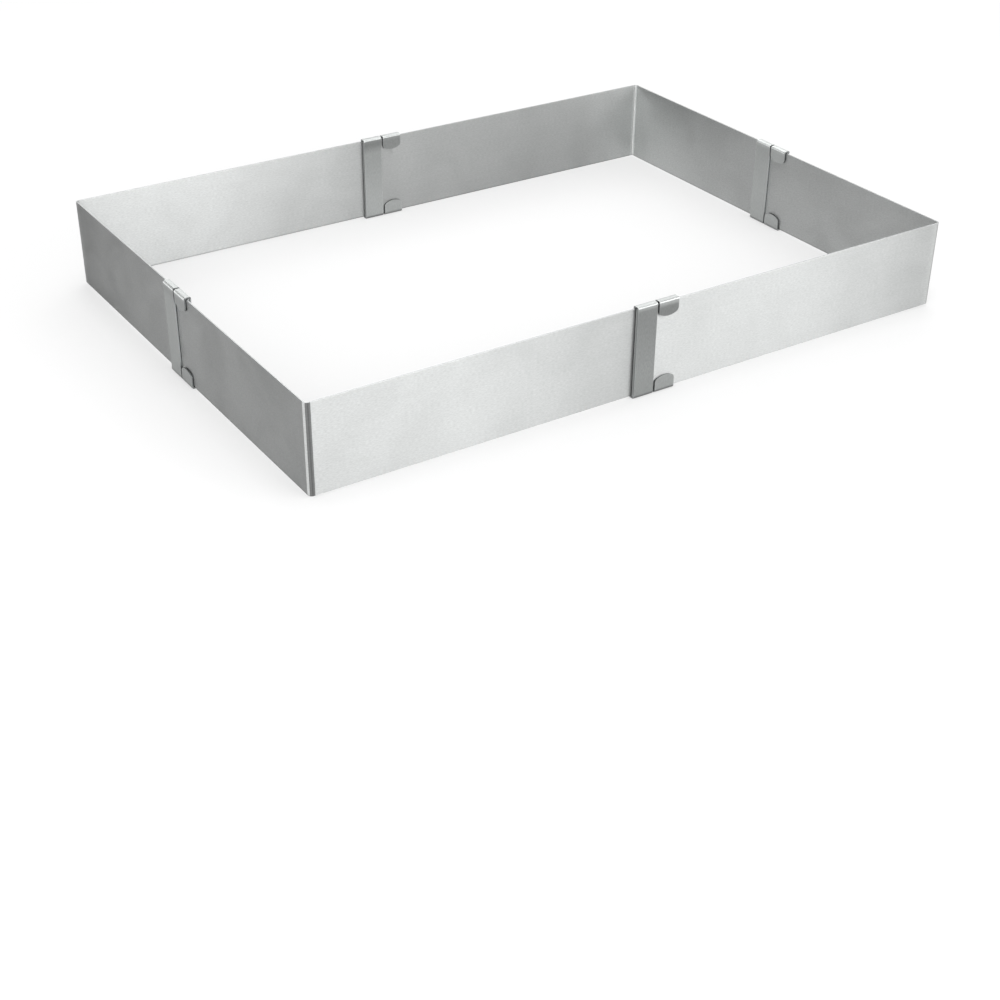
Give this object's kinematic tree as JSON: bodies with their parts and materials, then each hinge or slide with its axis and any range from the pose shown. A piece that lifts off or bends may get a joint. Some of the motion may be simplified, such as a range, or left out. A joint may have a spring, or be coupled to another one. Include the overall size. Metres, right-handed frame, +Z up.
{
  "type": "adjustable cake frame",
  "caption": "Rectangular baking frame of bent steel corner sheets that slide in one another's folded clips, so its length and width can be set.",
  "frame": {"origin": "middle of the frame as it stands, pulled out to 0.9 mm short of its stops, at the level of the clips' undersides, on which it stands", "axes": "+X along the long walls, to the right seen from the front; +Y from the front wall to the back wall; +Z up"},
  "size_m": [0.405, 0.289, 0.0522],
  "materials": {
    "sheet_steel": "brushed along the strip, satin",
    "clip_steel": "brushed across the strip, satin, darker than the sheets"
  },
  "bodies": {
    "front_left": {"front_left_sheet": "sheet_steel", "front_inner_clip": "clip_steel", "left_outer_clip": "clip_steel"},
    "front_right": {"front_right_sheet": "sheet_steel", "front_outer_clip": "clip_steel", "right_inner_clip": "clip_steel"},
    "back_right": {"back_right_sheet": "sheet_steel", "back_inner_clip": "clip_steel", "right_outer_clip": "clip_steel"},
    "back_left": {"back_left_sheet": "sheet_steel", "back_outer_clip": "clip_steel", "left_inner_clip": "clip_steel"}
  },
  "joints": [
    {"name": "length_slide", "type": "slide", "parent": "front_left", "child": "front_right", "axis": [1, 0, 0], "range_m": [-0.1856, 0.0009]},
    {"name": "width_slide_left", "type": "slide", "parent": "front_left", "child": "back_left", "axis": [0, 1, 0], "range_m": [-0.1276, 0.0009]},
    {"name": "width_slide_right", "type": "slide", "parent": "front_right", "child": "back_right", "axis": [0, 1, 0], "range_m": [-0.1276, 0.0009]}
  ],
  "couplings": [
    {"joint": "width_slide_right", "follows": "width_slide_left", "ratio": 1}
  ]
}
